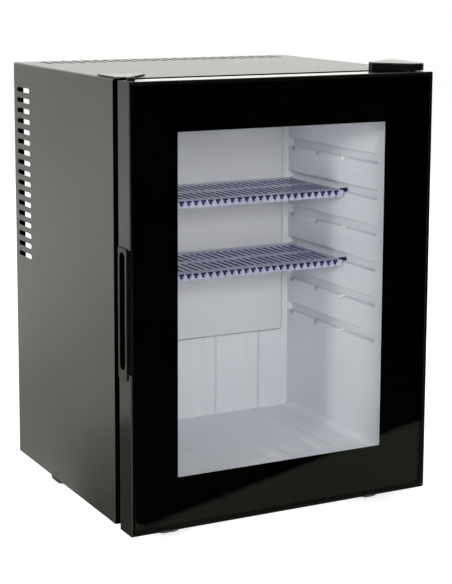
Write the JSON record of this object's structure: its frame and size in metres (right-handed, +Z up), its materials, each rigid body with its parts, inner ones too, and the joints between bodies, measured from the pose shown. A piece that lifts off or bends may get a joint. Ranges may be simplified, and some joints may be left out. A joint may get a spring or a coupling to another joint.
{
  "type": "minibar fridge",
  "caption": "Small free-standing absorption minibar: black vented cabinet, black-bordered glass door, two slotted shelves in a grooved white liner, cooling unit in its open rear bay.",
  "frame": {"origin": "on the floor under the middle of the fridge's outline, feet included", "axes": "+Z up, -Y out of the glass door's front, +X to the hinge side, right when seen from the front"},
  "size_m": [0.4016, 0.3644, 0.552],
  "materials": {
    "painted_sheet": "satin",
    "zinc_sheet": "satin",
    "liner": "satin",
    "foam": "matte",
    "cold_plate": "satin",
    "aluminium": "satin",
    "black_plastic": "satin",
    "dark_steel": "satin",
    "door_frame": "satin",
    "clear_glass": "polished",
    "border_print": "gloss",
    "gasket": "matte",
    "shelf_plastic": "gloss"
  },
  "bodies": {
    "cabinet": {"outer_wrapper": "painted_sheet", "base_plate": "zinc_sheet", "rear_partition": "zinc_sheet", "inner_liner": "liner", "foam_insulation": "foam", "evaporator_cover": "cold_plate", "cover_screw_1": "zinc_sheet", "cover_screw_2": "zinc_sheet", "cover_screw_3": "zinc_sheet", "cover_screw_4": "zinc_sheet", "evaporator_block": "aluminium", "temperature_sensor": "black_plastic", "foot_front_left": "black_plastic", "foot_front_right": "black_plastic", "foot_rear_left": "black_plastic", "foot_rear_right": "black_plastic", "hinge_bracket_top": "dark_steel", "hinge_bracket_bottom": "dark_steel", "hinge_pin_top": "dark_steel", "hinge_pin_bottom": "dark_steel", "hinge_screw_top_1": "dark_steel", "hinge_screw_top_2": "dark_steel", "hinge_screw_bottom_1": "dark_steel", "hinge_screw_bottom_2": "dark_steel", "hinge_cover": "black_plastic", "hinge_blank_cap": "black_plastic", "boiler_casing": "zinc_sheet", "riser_tube": "dark_steel", "condenser": "dark_steel", "evaporator_tubes": "dark_steel", "gas_heat_exchanger": "dark_steel", "absorber_coil": "dark_steel", "absorber_vessel": "dark_steel", "liquid_exchanger_tube": "dark_steel", "heater_element": "dark_steel", "heater_lead": "black_plastic", "boiler_saddle_lower": "zinc_sheet", "boiler_saddle_upper": "zinc_sheet", "coil_channel": "zinc_sheet", "control_box": "black_plastic", "power_gland": "black_plastic"},
    "door": {"door_stile_left": "door_frame", "door_stile_right": "door_frame", "door_rail_top": "door_frame", "door_rail_bottom": "door_frame", "front_glass": "clear_glass", "glass_border": "border_print", "spacer_bar": "aluminium", "inner_glass": "clear_glass", "door_inner_frame": "liner", "door_gasket": "gasket", "handle_grip": "black_plastic", "door_bush_top": "black_plastic", "door_bush_bottom": "black_plastic", "door_plug_top": "black_plastic", "door_plug_bottom": "black_plastic"},
    "shelf_upper": {"shelf_upper": "shelf_plastic"},
    "shelf_lower": {"shelf_lower": "shelf_plastic"}
  },
  "joints": [
    {"name": "door_hinge", "type": "hinge", "parent": "cabinet", "child": "door", "pos_m": [0.1878, -0.15645, 0.282], "axis": [0, 0, 1], "range_deg": [0, 110]},
    {"name": "shelf_upper_slide", "type": "slide", "parent": "cabinet", "child": "shelf_upper", "axis": [0, -1, 0], "range_m": [0, 0.07]},
    {"name": "shelf_lower_slide", "type": "slide", "parent": "cabinet", "child": "shelf_lower", "axis": [0, -1, 0], "range_m": [0, 0.07]}
  ]
}
